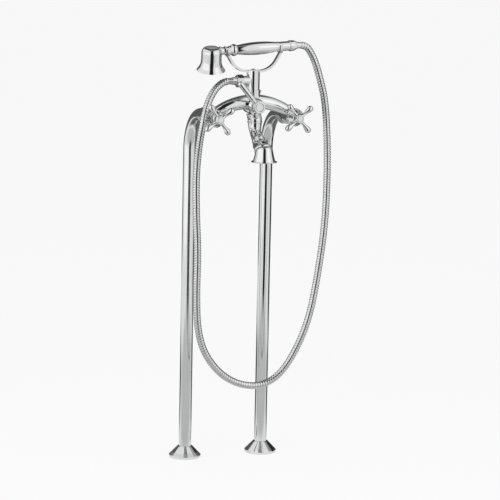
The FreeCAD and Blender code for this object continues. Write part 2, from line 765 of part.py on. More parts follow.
def crossHandleShape(turn):
    """Hub and four arms; the local Z axis points to the front."""
    end = v.hubEndDia / 2
    wide = v.hubDia / 2
    length = v.hubLength
    hub = lathe([[(0, end), (length * 0.5, wide), (length, end)]])
    middle = Vec(0, 0, length * 0.55)
    arms = []
    for k in range(4):
        angle = math.radians(45 + 90 * k + turn)
        arm = armShape(v.handleReach)
        along = Vec(math.cos(angle), math.sin(angle), 0)
        arm.Placement = FreeCAD.Placement(middle, FreeCAD.Rotation(Vec(0, 0, 1), along))
        arms.append(arm)
    seat = v.spindleGrip + v.hubWeb
    cuts = [Part.makeCylinder(v.spindleDia / 2 + v.shaftGap, v.spindleGrip),
            Part.makeCylinder(v.screwDia / 2 + v.fitGap, length),
            Part.makeCylinder(v.buttonDia / 2 + v.fitGap, length - seat, Vec(0, 0, seat))]
    return carved(hub.multiFuse(arms), cuts)


for side, sign, turn in (("left", "-", v.leftHandleTurn), ("right", "", v.rightHandleTurn)):
    base = (sign + "Derived.halfCentres", "0", "Sizes.inletHeight")
    spindleStart = "Derived.bodyFront - Sizes.spindleSink"
    turned("valve_cartridge_" + side,
           [("Derived.bodyFront - Sizes.valveBoreDepth + Sizes.looseGap",
             "Sizes.valveBoreDepth", "Sizes.valveBore / 2 - Sizes.fitGap"),
            ("Derived.bodyFront", "Sizes.cartridgeFlange", "Sizes.cartridgeFlangeDia / 2"),
            ("Derived.bodyFront", "Sizes.bonnetLength - Sizes.hubGap * 2",
             "Sizes.glandDia / 2")],
           [(spindleStart + " - Sizes.looseGap", "Sizes.valveBoreDepth",
             "Sizes.spindleDia / 2 + Sizes.shaftGap")], base, turnFront)
    turned("valve_spindle_" + side,
           [(spindleStart, "Derived.spindleEnd - (%s)" % spindleStart,
             "Sizes.spindleDia / 2")],
           [("Derived.screwSeat - Sizes.screwLength - 1", "Sizes.screwLength",
             "Sizes.screwDia / 2 + Sizes.shaftGap")], base, turnFront)
    turned("bonnet_" + side,
           [("Derived.bodyFront", "Sizes.bonnetRim", "Sizes.bonnetRimDia / 2"),
            ("Derived.bodyFront + Sizes.bonnetRim", "Sizes.bonnetRim",
             "Sizes.bonnetRimDia / 2", "Sizes.bonnetFootDia / 2"),
            ("Derived.bodyFront + Sizes.bonnetRim * 2",
             "Sizes.bonnetLength - Sizes.bonnetRim * 2",
             "Sizes.bonnetFootDia / 2 - Sizes.bonnetWall / 2", "Sizes.bonnetFrontDia / 2")],
           [("Derived.bodyFront", "Sizes.cartridgeFlange + Sizes.looseGap",
             "Sizes.bonnetFootDia / 2 - Sizes.bonnetWall * 2"),
            ("Derived.bodyFront + Sizes.cartridgeFlange",
             "Sizes.bonnetLength - Sizes.cartridgeFlange - Sizes.bonnetWall",
             "Sizes.bonnetFootDia / 2 - Sizes.bonnetWall * 2",
             "Sizes.bonnetFrontDia / 2 - Sizes.bonnetWall"),
            ("Derived.bodyFront", "Sizes.bonnetLength",
             "Sizes.glandDia / 2 + Sizes.looseGap")], base, turnFront)
    feature("cross_handle_" + side, crossHandleShape(turn),
            (base[0], "-Derived.hubBack", base[2]), turnFront)
    turned("handle_screw_" + side,
           [("Derived.screwSeat - Sizes.screwLength", "Sizes.screwLength",
             "Sizes.screwDia / 2"),
            ("Derived.screwSeat", "Sizes.screwHead", "Sizes.screwHeadDia / 2")],
           [], base, turnFront)
    turned("index_button_" + side,
           [("Derived.screwSeat + Sizes.screwHead", "Sizes.buttonThick - 0.8",
             "Sizes.buttonDia / 2"),
            ("Derived.screwSeat + Sizes.screwHead + Sizes.buttonThick - 0.8", "0.8",
             "Sizes.buttonDia / 2", "Sizes.buttonDia / 2 - 1.4")], [], base, turnFront)


# ---- Diverter with its lever ----
def leverShape():
    """Ring hub with a radial rod; the local Z axis points to the front."""
    length = v.leverHubLength
    wide = v.leverHubDia / 2
    reach = v.leverReach
    radius = v.leverRodDia / 2
    hub = lathe([[(0, wide - 1.2), (1.2, wide)], [(1.2, wide), (length - 2, wide)],
                 [(length - 2, wide), (length - 0.6, wide - 0.8), (length, wide - 2.4)]])
    stem = lathe([[(0, radius * 0.86), (wide + 3, radius * 0.86)],
                  [(wide + 3, radius * 0.86), (wide + 9, radius)],
                  [(wide + 9, radius), (reach - radius, radius)],
                  [(reach - radius, radius), (reach - radius * 0.55, radius * 0.9),
                   (reach - radius * 0.14, radius * 0.5), (reach, 0)]])
    lean = math.radians(90 + v.leverLean)
    along = Vec(math.cos(lean), math.sin(lean), 0)
    stem.Placement = FreeCAD.Placement(Vec(0, 0, length / 2),
                                       FreeCAD.Rotation(Vec(0, 0, 1), along))
    seat = v.leverSocket + v.leverWeb
    recess = seat + v.screwHead
    cuts = [Part.makeCylinder(v.spindleDia / 2 + v.shaftGap, v.leverSocket),
            Part.makeCylinder(v.screwDia / 2 + v.fitGap, length),
            Part.makeCylinder(v.screwHeadDia / 2 + v.looseGap, length, Vec(0, 0, seat)),
            Part.makeCylinder(v.leverButtonDia / 2 + v.fitGap, length, Vec(0, 0, recess))]
    return carved(hub.fuse(stem), cuts)


base = ("0", "0", "Derived.diverterHeight")
spindleStart = "Derived.housingFront - Sizes.spindleSink"
turned("diverter_cartridge",
       [("Derived.housingFront - Sizes.diverterBoreDepth + Sizes.looseGap",
         "Sizes.diverterBoreDepth", "Sizes.valveBore / 2 - Sizes.fitGap"),
        ("Derived.housingFront", "Sizes.cartridgeFlange - 1", "Sizes.cartridgeFlangeDia / 2"),
        ("Derived.housingFront", "Sizes.diverterBonnetLength", "Sizes.glandDia / 2")],
       [(spindleStart + " - Sizes.looseGap", "Sizes.diverterBoreDepth",
         "Sizes.spindleDia / 2 + Sizes.shaftGap")], base, turnFront)
turned("diverter_spindle",
       [(spindleStart, "Derived.leverSpindleEnd - (%s)" % spindleStart,
         "Sizes.spindleDia / 2")],
       [("Derived.leverScrewSeat - Sizes.screwLength - 1", "Sizes.screwLength",
         "Sizes.screwDia / 2 + Sizes.shaftGap")], base, turnFront)
turned("diverter_bonnet",
       [("Derived.housingFront", "Sizes.diverterBonnetLength - 2", "Sizes.diverterDia / 2",
         "Sizes.diverterBonnetFrontDia / 2 + 1"),
        ("Derived.housingFront + Sizes.diverterBonnetLength - 2", "2",
         "Sizes.diverterBonnetFrontDia / 2")],
       [("Derived.housingFront", "Sizes.cartridgeFlange - 1 + Sizes.looseGap",
         "Sizes.cartridgeFlangeDia / 2 + Sizes.looseGap"),
        ("Derived.housingFront", "Sizes.diverterBonnetLength",
         "Sizes.glandDia / 2 + Sizes.looseGap")], base, turnFront)
feature("diverter_lever", leverShape(), ("0", "-Derived.leverBack", base[2]), turnFront)
turned("diverter_screw",
       [("Derived.leverScrewSeat - Sizes.screwLength", "Sizes.screwLength",
         "Sizes.screwDia / 2"),
        ("Derived.leverScrewSeat", "Sizes.screwHead", "Sizes.screwHeadDia / 2")],
       [], base, turnFront)
turned("diverter_button",
       [("Derived.leverScrewSeat + Sizes.screwHead", "Sizes.leverButtonThick - 0.7",
         "Sizes.leverButtonDia / 2"),
        ("Derived.leverScrewSeat + Sizes.screwHead + Sizes.leverButtonThick - 0.7", "0.7",
         "Sizes.leverButtonDia / 2", "Sizes.leverButtonDia / 2 - 1.6")],
       [], base, turnFront)


# ---- Column with the hose outlet ----
def columnShape():
    """A tube closed at the top, upward from the body's boss."""
    radius = v.columnDia / 2
    outer = Part.makeCylinder(radius, v.columnLength)
    spigot = Part.makeCylinder(v.columnSpigotDia / 2, v.columnSpigot, Vec(0, 0, -v.columnSpigot))
    hollow = v.columnLength - v.columnTopThick
    cuts = [Part.makeCylinder(v.columnBore / 2, hollow),
            Part.makeCylinder(v.portDia / 2, v.columnSpigot, Vec(0, 0, -v.columnSpigot)),
            Part.makeCylinder(v.cradleScrewDia / 2 + v.shaftGap, v.columnLength)]
    outletLevel = v.columnLength - v.outletDrop
    cuts.append(rod(v.outletBore / 2, Vec(0, 0, outletLevel), Vec(-radius - 1, 0, outletLevel)))
    return carved(outer.fuse(spigot), cuts)


columnBase = ("0", "-Derived.archDepth", "Derived.columnFoot")
feature("column", columnShape(), columnBase)
turned("column_screw",
       [("Sizes.columnSpigotDia / 2 + Sizes.fitGap",
         "(Sizes.columnBossDia - Sizes.columnSpigotDia) / 2", "Sizes.columnScrewDia / 2"),
        ("Sizes.columnBossDia / 2", "Sizes.columnScrewHead", "Sizes.columnScrewHeadDia / 2")],
       [], ("0", "-Derived.archDepth", "Derived.columnFoot - Sizes.columnBossHeight / 3"),
       turnRight)

outletBase = ("0", "-Derived.archDepth", "Derived.outletHeight")


def hoseOutletShape():
    """Stub and thread along the local Z axis, saddled on the column."""
    stub = Part.makeCylinder(v.outletDia / 2, v.outletReach)
    thread = Part.makeCylinder(v.hoseThreadDia / 2, v.threadEnd)
    saddle = Part.makeCylinder(v.columnDia / 2 + v.shaftGap, v.outletDia * 2,
                               Vec(-v.outletDia, 0, 0), Vec(1, 0, 0))
    bore = Part.makeCylinder(v.outletBore / 2, v.threadEnd)
    return stub.fuse(thread).cut(saddle.fuse(bore))


feature("hose_outlet", hoseOutletShape(), outletBase, turnLeft)
turned("hose_washer_outlet",
       [("Derived.threadEnd", "Sizes.hoseWasher", "Sizes.ferruleFlangeDia / 2")],
       [("Derived.threadEnd", "Sizes.hoseWasher", "Sizes.hoseBore / 2")],
       outletBase, turnLeft)
hexNut("hose_nut_outlet", "Sizes.hoseNutAcross", "(Derived.lipEnd - Derived.hoseNutBack)",
       [("0", "Sizes.hoseDia / 2"), ("-Sizes.hoseNutLip", "Sizes.hoseThreadDia / 2 + Sizes.fitGap")],
       ("-Derived.hoseNutBack", outletBase[1], outletBase[2]), turnLeft)
turned("hose_ferrule_outlet",
       [("Derived.flangeStart", "Sizes.ferruleFlange", "Sizes.ferruleFlangeDia / 2"),
        ("Derived.flangeStart", "Derived.hoseStart - Derived.flangeStart",
         "Sizes.hoseDia / 2 - Sizes.looseGap"),
        ("Derived.lipEnd + Sizes.looseGap", "Sizes.ferruleLength - Sizes.looseGap",
         "Sizes.ferruleDia / 2", "Sizes.hoseDia / 2 + Sizes.looseGap")],
       [("Derived.flangeStart", "Derived.hoseStart - Derived.flangeStart",
         "Sizes.hoseBore / 2")], outletBase, turnLeft)


# ---- Cradle ----
def strapSide(side):
    """One half of the strap, from the middle out to its fork."""
    half = v.strapThick / 2
    low = v.columnTop
    centre = Vec(side * v.strapFlat, 0, low + half + v.strapRadius)
    end = v.forkHalf + v.forkThick / 2
    turn = math.radians(60)
    edges = []
    corners = []
    for radius in (v.strapRadius + half, v.strapRadius - half):
        foot = centre + Vec(0, 0, -radius)
        mid = centre + Vec(side * radius * math.sin(turn / 2), 0, -radius * math.cos(turn / 2))
        top = centre + Vec(side * radius * math.sin(turn), 0, -radius * math.cos(turn))
        run = (end - abs(top.x)) / math.cos(turn)
        tip = top + Vec(side * run * math.cos(turn), 0, run * math.sin(turn))
        inner = Vec(0, 0, foot.z)
        edges.append([Part.LineSegment(inner, foot).toShape(),
                      Part.Arc(foot, mid, top).toShape(),
                      Part.LineSegment(top, tip).toShape()])
        corners.append((inner, tip))
    closing = [Part.LineSegment(corners[0][1], corners[1][1]).toShape(),
               Part.LineSegment(corners[1][0], corners[0][0]).toShape()]
    face = Part.Face(Part.Wire(Part.sortEdges(edges[0] + edges[1] + closing)[0]))
    strap = face.extrude(Vec(0, v.strapWidth, 0))
    strap.translate(Vec(0, -v.strapWidth / 2, 0))
    return strap


def forkPiece(side, radius, horn, spread):
    """A U plate, or with spread the space inside it, square to the hand shower."""
    start = side * v.forkHalf - (v.forkThick / 2 + spread)
    thick = v.forkThick + spread * 2
    barrel = Part.makeCylinder(radius, thick, Vec(start, 0, 0), Vec(1, 0, 0))
    prongs = Part.makeBox(thick, radius * 2, horn, Vec(start, -radius, 0))
    return barrel.fuse(prongs)


def cradleShape():
    tilted = FreeCAD.Placement(Vec(0, 0, v.handsetHeight),
                               FreeCAD.Rotation(Vec(0, 1, 0), -v.handsetTilt))
    solids = []
    spaces = []
    for side, groove, collar in ((-1, v.headGrooveDia, v.collarDia),
                                 (1, v.tailGrooveDia, v.endRingDia)):
        slot = groove / 2 + v.restGap
        outer = slot + v.forkWall
        end = side * (v.forkHalf + v.forkThick * 1.5)
        inner = side * (v.forkHalf - v.forkThick / 2)
        plate = forkPiece(side, outer, v.forkHorn, 0)
        inside = forkPiece(side, slot, v.forkHorn + outer, v.forkThick)
        above = Part.makeBox(v.forkThick * 4, outer * 4, outer * 3,
                             Vec(side * v.forkHalf - v.forkThick * 2, -outer * 2, v.forkHorn))
        beyond = Part.makeBox(v.forkThick * 2, outer * 4, outer * 6,
                              Vec(end - v.forkThick, -outer * 2, -outer * 3))
        under = Part.makeCylinder(collar / 2 + v.restGap, v.forkThick, Vec(inner, 0, 0),
                                  Vec(-side, 0, 0))
        for shape in (plate, inside, above, beyond):
            shape.Placement = tilted
        under.Placement = tilted.multiply(under.Placement)
        solids += [strapSide(side), plate]
        spaces += [inside, above, beyond, under]
    solids.append(Part.makeCylinder(v.columnDia / 2, v.cradlePad, Vec(0, 0, v.columnTop)))
    spaces.append(Part.makeCylinder(v.cradleScrewDia / 2 + v.fitGap, v.strapThick + 1,
                                    Vec(0, 0, v.columnTop)))
    return carved(solids[0].multiFuse(solids[1:]), spaces)


feature("cradle", cradleShape(), ("0", "-Derived.archDepth", "0"))
turned("cradle_screw",
       [("Sizes.strapThick - Sizes.cradleScrewLength", "Sizes.cradleScrewLength",
         "Sizes.cradleScrewDia / 2"),
        ("Sizes.strapThick", "Sizes.cradleScrewHead / 2", "Sizes.cradleScrewHeadDia / 2"),
        ("Sizes.strapThick + Sizes.cradleScrewHead / 2", "Sizes.cradleScrewHead / 2",
         "Sizes.cradleScrewHeadDia / 2", "Sizes.cradleScrewDia / 2")],
       [], ("0", "-Derived.archDepth", "Derived.columnTop"))


# ---- Hand shower ----
def bellRuns(inset, floor, mouth):
    """The bell's outline, downward from its crown; inset for its inside."""
    waist = v.bellWaistDia / 2 - inset
    corner = v.bellCorner - inset
    top = inset - v.bellCrown
    side = top + corner
    sweep = corner * (1 - math.sqrt(0.5))
    flare = v.bellFlare
    run = floor - flare
    wide = mouth - waist
    return [[(top, 0), (top, waist - corner)],
            [(top, waist - corner), (top + sweep, waist - sweep), (side, waist)],
            [(side, waist), (flare * 0.7, waist)],
            [(flare * 0.7, waist), (flare, waist + wide * 0.05),
             (flare + run * 0.45, waist + wide * 0.30), (flare + run * 0.78, waist + wide * 0.68),
             (floor, mouth)]]


def aimDown(shape):
    """Turns a shape made along Z to the bell's axis and place."""
    aim = FreeCAD.Placement(Vec(0, 0, -v.bellPlace), FreeCAD.Rotation(Vec(0, 1, 0), 90))
    return shape.transformed(aim.toMatrix(), True)


def headShape():
    """Bell, ringed neck, fork groove and collar, along the hand shower's axis."""
    neck = v.neckDia / 2
    bead = v.neckRingDia / 2
    wide = v.neckRing
    runs = [[(-v.bellPlace, neck), (-v.neckLeft, neck)],
            [(-v.neckLeft, neck), (-v.neckLeft + wide / 2, bead), (-v.neckLeft + wide, neck)],
            [(-v.neckLeft + wide, neck), (-v.neckLeft + v.neckLength / 2, neck - 0.9),
             (-v.grooveLeft - wide, neck)],
            [(-v.grooveLeft - wide, neck), (-v.grooveLeft - wide / 2, bead), (-v.grooveLeft, neck)],
            [(-v.grooveLeft, neck), (-v.grooveLeft, v.headGrooveDia / 2)],
            [(-v.grooveLeft, v.headGrooveDia / 2), (-v.grooveRight, v.headGrooveDia / 2)],
            [(-v.grooveRight, v.headGrooveDia / 2), (-v.grooveRight, v.collarDia / 2)],
            [(-v.grooveRight, v.collarDia / 2), (-v.beadLeft, v.collarDia / 2)]]
    outer = lathe(runs).fuse(aimDown(lathe(bellRuns(0, v.bellDepth, v.bellMouthDia / 2))))
    ledge = v.bellDepth - v.roseRecess - v.roseThick
    inside = aimDown(lathe(bellRuns(v.bellWall, ledge, v.roseDia / 2 - v.bellWall)))
    seat = aimDown(Part.makeCylinder(v.roseDia / 2 + v.fitGap, v.bellDepth, Vec(0, 0, ledge)))
    bore = Part.makeCylinder(v.coreBore / 2, v.bellPlace - v.beadLeft, Vec(0, 0, -v.bellPlace))
    socket = Part.makeCylinder(v.coreDia / 2 + v.shaftGap, v.coreSocket,
                               Vec(0, 0, -v.beadLeft - v.coreSocket))
    return carved(outer, [inside, seat, bore, socket])


def bored(shape, start, length):
    """Opens a grip piece for the core tube."""
    return shape.cut(Part.makeCylinder(v.coreDia / 2 + v.fitGap, length, Vec(0, 0, start)))


feature("handset_head", headShape(), handsetBase, turnHandset)
roseHoles = holeRings(v.roseDia / 2 - v.bellWall * 2, 4, 6)
roseStart = v.bellDepth - v.roseRecess - v.roseThick
rose = drilledDisc(v.roseDia / 2, roseStart, v.roseThick, v.roseHole / 2, roseHoles)
feature("spray_plate", aimDown(rose), handsetBase, turnHandset)

beadShape = lathe([[(-v.beadLeft, v.beadEndDia / 2), (-v.beadLeft + v.beadLength / 2, v.beadDia / 2),
                    (-v.gripLeft, v.beadEndDia / 2)]])
feature("grip_ferrule", bored(beadShape, -v.beadLeft, v.beadLength), handsetBase, turnHandset)
gripShape = lathe([[(-v.gripLeft, v.gripHeadDia / 2),
                    (v.gripLength / 2 - v.gripLeft, v.gripMidDia / 2),
                    (v.gripRight, v.gripTailDia / 2)]])
feature("grip_barrel", bored(gripShape, -v.gripLeft, v.gripLength), handsetBase, turnHandset)
coreStart = "-Derived.beadLeft - Sizes.coreSocket"
coreLength = "Derived.tailStart + Derived.beadLeft + Sizes.coreSocket * 2"
turned("grip_core_tube", [(coreStart, coreLength, "Sizes.coreDia / 2")],
       [(coreStart, coreLength, "Sizes.coreBore / 2")], handsetBase, turnHandset)
turned("grip_end_ring", [("Derived.gripRight", "Sizes.endRing", "Sizes.endRingDia / 2")],
       [("Derived.gripRight", "Sizes.endRing", "Sizes.coreDia / 2 + Sizes.fitGap")],
       handsetBase, turnHandset)
turned("handset_tail",
       [("Derived.tailStart", "Sizes.tailGroove", "Sizes.tailGrooveDia / 2"),
        ("Derived.tailGrooveEnd", "Sizes.tailLength", "Sizes.tailDia / 2"),
        ("Derived.tailEnd", "Sizes.tailThread", "Sizes.hoseThreadDia / 2")],
       [("Derived.tailStart", "Derived.tailThreadEnd - Derived.tailStart",
         "Sizes.coreBore / 2"),
        ("Derived.tailStart", "Sizes.coreSocket", "Sizes.coreDia / 2 + Sizes.shaftGap")],
       handsetBase, turnHandset)
turned("hose_washer_handset",
       [("Derived.tailThreadEnd", "Sizes.hoseWasher", "Sizes.ferruleFlangeDia / 2")],
       [("Derived.tailThreadEnd", "Sizes.hoseWasher", "Sizes.hoseBore / 2")],
       handsetBase, turnHandset)
turned("hose_nut_handset",
       [("Derived.coneNutStart", "Sizes.coneNutRing", "Sizes.coneNutDia / 2"),
        ("Derived.coneNutStart + Sizes.coneNutRing",
         "Derived.coneLipStart - Derived.coneNutStart - Sizes.coneNutRing",
         "Sizes.coneNutDia / 2 - Sizes.looseGap", "Sizes.hoseThreadDia / 2 + Sizes.coneNutWall"),
        ("Derived.coneLipStart", "Derived.coneNutEnd - Derived.coneLipStart",
         "Sizes.hoseThreadDia / 2 + Sizes.coneNutWall", "Sizes.coneNutEndDia / 2")],
       [("Derived.coneNutStart", "Derived.coneLipStart - Derived.coneNutStart",
         "Sizes.hoseThreadDia / 2 + Sizes.fitGap"),
        ("Derived.coneNutStart", "Sizes.coneNutLength", "Sizes.hoseDia / 2")],
       handsetBase, turnHandset)
turned("hose_ferrule_handset",
       [("Derived.coneFlangeStart", "Sizes.ferruleFlange", "Sizes.ferruleFlangeDia / 2"),
        ("Derived.coneFlangeStart", "Derived.handsetHose - Derived.coneFlangeStart",
         "Sizes.hoseDia / 2 - Sizes.looseGap")],
       [("Derived.coneFlangeStart", "Derived.handsetHose - Derived.coneFlangeStart",
         "Sizes.hoseBore / 2")], handsetBase, turnHandset)

# ---- Hose: ribbed, looping down from the outlet and up to the hand shower ----
# each point's place across, and its drop below the outlet
loop = [(-73.0, 5.5), (-86.5, 17.5), (-100.5, 34.5), (-113.2, 57.0), (-119.4, 86.0),
        (-121.4, 122.0), (-123.8, 170.0), (-125.0, 217.0), (-123.0, 287.0), (-118.0, 366.9),
        (-119.8, 456.9), (-116.7, 533.1), (-101.2, 588.5), (-66.4, 634.9), (-22.2, 662.9),
        (29.2, 670.8), (74.7, 649.6), (111.5, 596.6), (141.6, 525.9), (159.2, 432.9),
        (173.0, 326.2), (176.6, 227.4), (174.5, 135.0), (170.3, 77.0), (164.5, 35.0),
        (154.3, -1.0), (144.5, -32.5), (132.5, -58.0)]
tilt = math.radians(v.handsetTilt)
hoseAlong = Vec(math.cos(tilt), 0, math.sin(tilt))
hoseFirst = Vec(-v.hoseStart, -v.archDepth, v.outletHeight)
hoseLast = Vec(0, -v.archDepth, v.handsetHeight) + hoseAlong * v.handsetHose
route = [hoseFirst, hoseFirst + Vec(-v.hoseOutletRun, 0, 0)]
route += [Vec(x, -v.archDepth, v.outletHeight - drop) for x, drop in loop]
route += [hoseLast + hoseAlong * v.hoseHandsetRun, hoseLast]


def routeWire(points):
    """Straight runs joined by tangent arcs, each as large as its runs allow."""
    edges = []
    radii = []
    last = points[0]
    for before, corner, after in zip(points, points[1:], points[2:]):
        into = corner.sub(before)
        out = after.sub(corner)
        cut = 0.48 * min(into.Length, out.Length)
        turn = into.getAngle(out)
        radii.append(cut / math.tan(turn / 2))
        start = corner.sub(into.normalize() * cut)
        end = corner.add(out.normalize() * cut)
        inward = (start.sub(corner) + end.sub(corner)).normalize()
        bulge = radii[-1] / math.cos(turn / 2) - radii[-1]
        edges.append(Part.LineSegment(last, start).toShape())
        edges.append(Part.Arc(start, corner + inward * bulge, end).toShape())
        last = end
    edges.append(Part.LineSegment(last, points[-1]).toShape())
    return Part.Wire(edges), radii


def routeFrames(wire, places):
    """The point and direction at each length along the wire."""
    frames = []
    edges = wire.OrderedEdges
    passed = 0.0
    index = 0
    for s in places:
        while index < len(edges) - 1 and s > passed + edges[index].Length:
            passed += edges[index].Length
            index += 1
        edge = edges[index]
        along = min(max(s - passed, 0.0), edge.Length)
        parameter = edge.getParameterByLength(along)
        frames.append((edge.valueAt(parameter), edge.tangentAt(parameter)))
    return frames


def hoseShape(ribs):
    """A ruled loft through four rings for each rib, less the bore."""
    wire, radii = routeWire(route)
    length = wire.Length
    end = v.hoseDia
    pitch = (length - end * 2) / ribs
    crest = v.hoseDia / 2
    groove = v.hoseGrooveDia / 2
    places = [0.0]
    widths = [crest]
    for k in range(ribs):
        foot = end + pitch * k
        for share, radius in ((0.08, groove), (0.34, crest), (0.74, crest), (1.0, groove)):
            places.append(foot + pitch * share)
            widths.append(radius)
    places.append(length)
    widths.append(crest)
    steady = Vec(0, 1, 0)
    rings = [ring(radius, point, along, steady)
             for radius, (point, along) in zip(widths, routeFrames(wire, places))]
    outer = Part.makeLoft(rings, True, True)
    first, along = routeFrames(wire, [0.0])[0]
    bore = wire.makePipeShell([ring(v.hoseBore / 2, first, along, steady)], True, False)
    hose = outer.cut(bore)
    print("hose length %.1f, least radius %.1f" % (length, min(radii)))
    print("hose radii", " ".join("%.0f" % radius for radius in radii))
    tube = math.pi * (crest ** 2 - (v.hoseBore / 2) ** 2) * length
    print("hose volume %.0f of %.0f for a plain tube" % (hose.Volume, tube))
    return hose


feature("shower_hose", hoseShape(196), noBase)

# ---- Checks and export ----
doc.recompute()
for obj in doc.Objects:
    if "Invalid" in obj.State or "Error" in obj.State:
        raise ValueError("failed: %s %s" % (obj.Label, obj.State))
os.makedirs("parts", exist_ok=True)
for obj in nodes:
    shape = obj.Shape
    if shape.isNull() or not shape.isValid():
        raise ValueError("bad shape: " + obj.Label)
    print("%-22s %d solid(s) %10.0f mm3" % (obj.Label, len(shape.Solids), shape.Volume))
for obj in nodes:
    obj.Shape.exportStep("parts/%s.step" % obj.Label)
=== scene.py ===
import json
import math
import bpy
from mathutils import Matrix, Vector


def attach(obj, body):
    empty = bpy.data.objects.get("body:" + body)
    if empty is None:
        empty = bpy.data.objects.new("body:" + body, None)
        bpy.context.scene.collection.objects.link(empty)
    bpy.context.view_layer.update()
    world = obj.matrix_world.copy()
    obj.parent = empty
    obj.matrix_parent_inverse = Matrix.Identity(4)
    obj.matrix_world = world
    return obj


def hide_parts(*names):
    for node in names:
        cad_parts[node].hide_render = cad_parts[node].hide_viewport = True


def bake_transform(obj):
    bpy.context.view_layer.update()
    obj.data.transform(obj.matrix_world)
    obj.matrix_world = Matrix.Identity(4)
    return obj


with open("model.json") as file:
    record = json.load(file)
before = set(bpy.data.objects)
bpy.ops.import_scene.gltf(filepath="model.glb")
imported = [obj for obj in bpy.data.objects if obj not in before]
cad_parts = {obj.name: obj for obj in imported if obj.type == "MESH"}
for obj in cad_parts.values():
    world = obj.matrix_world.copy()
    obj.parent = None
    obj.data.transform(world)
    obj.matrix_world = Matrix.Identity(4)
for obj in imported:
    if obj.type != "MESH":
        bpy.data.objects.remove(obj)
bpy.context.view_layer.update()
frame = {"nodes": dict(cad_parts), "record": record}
nodes = frame["nodes"]
record = frame["record"]
print("stage: frame loaded,", len(nodes), "nodes")

bpy.context.scene.view_settings.view_transform = "Standard"

# the camera stands where the photograph was taken from
cameraSettings = {
    "azimuth": -20.0025,  # degrees, 0 looks along +Y
    "elevation": 9.2239,
    "roll": 1.1644,
    "place": (-1.67618, -4.75874, 1.28633),
    "lens": 165.19,  # millimetres
    "sensor": 36,
    "sight": 60,  # metres
}


def addCamera(s):
    a, e, r = (math.radians(s[k]) for k in ("azimuth", "elevation", "roll"))
    back = Vector((math.sin(a) * math.cos(e), -math.cos(a) * math.cos(e), math.sin(e)))
    right = Vector((math.cos(a), math.sin(a), 0))
    up = back.cross(right)
    rolledRight = right * math.cos(r) + up * math.sin(r)
    rolledUp = up * math.cos(r) - right * math.sin(r)
    turn = Matrix((rolledRight, rolledUp, back)).transposed()
    bpy.ops.object.camera_add(location=s["place"], rotation=turn.to_euler())
    camera = bpy.context.object
    camera.data.sensor_width = s["sensor"]
    camera.data.lens = s["lens"]
    camera.data.clip_end = s["sight"]
    bpy.context.scene.camera = camera


addCamera(cameraSettings)
print("stage: camera placed")


# helpers for picking and for materials
def deselectAll():
    for item in bpy.context.selected_objects:
        item.select_set(False)


def makeActive(item):
    deselectAll()
    item.select_set(True)
    bpy.context.view_layer.objects.active = item


def newMaterial(name):
    material = bpy.data.materials.new(name)
    material.use_nodes = True
    tree = material.node_tree
    return material, tree, tree.nodes["Principled BSDF"]


def newMetal(name):
    material, tree, shader = newMaterial(name)
    shader.inputs["Metallic"].default_value = 1.0
    return material, tree, shader


def addNode(tree, kind, inputs=None, **settings):
    node = tree.nodes.new(kind)
    for key, value in settings.items():
        setattr(node, key, value)
    for key, value in (inputs or {}).items():
        node.inputs[key].default_value = value
    return node


def objectNoise(tree, scale, detail, stretch=(1, 1, 1)):
    place = addNode(tree, "ShaderNodeTexCoord")
    fit = addNode(tree, "ShaderNodeMapping", {"Scale": stretch})
    noise = addNode(tree, "ShaderNodeTexNoise", {"Scale": scale, "Detail": detail})
    tree.links.new(place.outputs["Object"], fit.inputs["Vector"])
    tree.links.new(fit.outputs["Vector"], noise.inputs["Vector"])
    return noise.outputs["Fac"]


def colourAndRoughen(tree, shader, source, look):
    # the source runs from the first colour to the second, and over the roughness
    start, end = look["colourSpan"]
    first, second = look["colours"]
    ramp = addNode(tree, "ShaderNodeValToRGB")
    ramp.color_ramp.elements[0].position = start
    ramp.color_ramp.elements[0].color = (*first, 1)
    ramp.color_ramp.elements[1].position = end
    ramp.color_ramp.elements[1].color = (*second, 1)
    tree.links.new(source, ramp.inputs["Fac"])
    tree.links.new(ramp.outputs["Color"], shader.inputs["Base Color"])
    start, end = look["roughSpan"]
    least, most = look["rough"]
    ranged = addNode(tree, "ShaderNodeMapRange",
                     {"From Min": start, "From Max": end, "To Min": least, "To Max": most})
    tree.links.new(source, ranged.inputs["Value"])
    tree.links.new(ranged.outputs["Result"], shader.inputs["Roughness"])


def addBumps(tree, shader, *layers):
    # each layer is (source, height in metres)
    normal = None
    for source, height in layers:
        bump = addNode(tree, "ShaderNodeBump", {"Strength": 1.0, "Distance": height})
        tree.links.new(source, bump.inputs["Height"])
        if normal:
            tree.links.new(normal, bump.inputs["Normal"])
        normal = bump.outputs["Normal"]
    tree.links.new(normal, shader.inputs["Normal"])


# finishes: a noise is given as (scale, detail, stretch) and a bump's height in metres
chromeLook = {
    "colours": ((0.72, 0.725, 0.73), (0.66, 0.665, 0.67)),
    "colourSpan": (0.45, 0.8),
    "rough": (0.02, 0.07),
    "roughSpan": (0.4, 0.75),
    "smudge": (26, 4.0),
    "wave": (60, 2.0),
    "waveHeight": 0.000006,
    "grain": (900, 2.0),
    "grainHeight": 0.0000006,
}


def polishedChrome(look):
    material, tree, shader = newMetal("polished_chrome")
    colourAndRoughen(tree, shader, objectNoise(tree, *look["smudge"]), look)
    addBumps(tree, shader, (objectNoise(tree, *look["wave"]), look["waveHeight"]),
             (objectNoise(tree, *look["grain"]), look["grainHeight"]))
    return material


hoseLook = {
    "colours": ((0.70, 0.705, 0.71), (0.58, 0.585, 0.59)),
    "colourSpan": (0.35, 0.75),
    "rough": (0.06, 0.14),
    "roughSpan": (0.3, 0.7),
    "wear": (120, 4.0),
    "grain": (1500, 2.0),
    "grainHeight": 0.000003,
}


